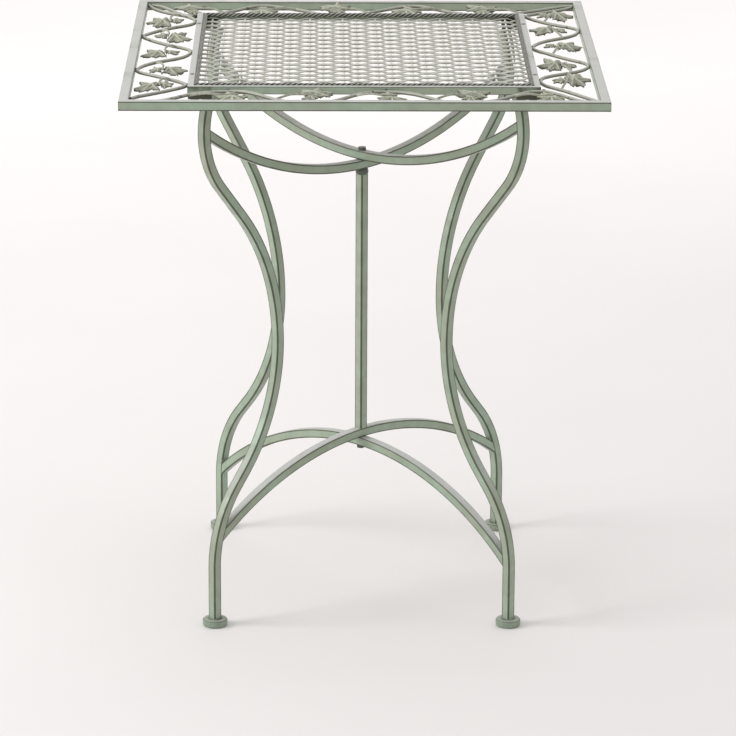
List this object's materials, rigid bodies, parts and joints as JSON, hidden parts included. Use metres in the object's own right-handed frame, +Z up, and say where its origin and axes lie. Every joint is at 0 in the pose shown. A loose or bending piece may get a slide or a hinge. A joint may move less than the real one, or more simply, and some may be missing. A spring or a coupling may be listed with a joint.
{
  "type": "bistro table",
  "caption": "Square wrought-iron bistro table with a woven steel panel, a vine-scroll border and S-curved legs on disc feet.",
  "frame": {"origin": "on the floor, under the middle of the square top", "axes": "+Z up, -Y towards the front, +X to the right"},
  "size_m": [0.6, 0.6, 0.722],
  "materials": {
    "painted_iron": "satin antique sage paint with dark rubbed edges",
    "woven_steel": "satin pale sage paint",
    "leaf_metal": "satin grey-green paint with cream highlights",
    "fixings": "satin dark patina"
  },
  "bodies": {
    "root": {"outer_rail_front": "painted_iron", "outer_rail_right": "painted_iron", "outer_rail_back": "painted_iron", "outer_rail_left": "painted_iron", "inner_rail_front": "painted_iron", "inner_rail_right": "painted_iron", "inner_rail_back": "painted_iron", "inner_rail_left": "painted_iron", "rope_bar_front": "woven_steel", "rope_bar_right": "woven_steel", "rope_bar_back": "woven_steel", "rope_bar_left": "woven_steel", "weave_crossbands": "woven_steel", "weave_rods": "woven_steel", "panel_rivets": "fixings", "vine_wire_front": "painted_iron", "vine_wire_right": "painted_iron", "vine_wire_back": "painted_iron", "vine_wire_left": "painted_iron", "vine_leaves_front": "leaf_metal", "vine_leaves_right": "leaf_metal", "vine_leaves_back": "leaf_metal", "vine_leaves_left": "leaf_metal", "leg_front_left": "painted_iron", "leg_front_right": "painted_iron", "leg_back_right": "painted_iron", "leg_back_left": "painted_iron", "foot_front_left": "painted_iron", "foot_front_right": "painted_iron", "foot_back_right": "painted_iron", "foot_back_left": "painted_iron", "leg_plate_front_left": "painted_iron", "leg_plate_front_right": "painted_iron", "leg_plate_back_right": "painted_iron", "leg_plate_back_left": "painted_iron", "corner_lug_front_left": "painted_iron", "corner_lug_front_right": "painted_iron", "corner_lug_back_right": "painted_iron", "corner_lug_back_left": "painted_iron", "top_bolts": "fixings", "crossbar_upper": "painted_iron", "crossbar_lower": "painted_iron", "stretcher_upper": "painted_iron", "stretcher_lower": "painted_iron", "centre_post": "painted_iron", "post_collar": "fixings", "upper_pivot_bolt": "fixings", "lower_pivot_bolt": "fixings"}
  },
  "joints": []
}
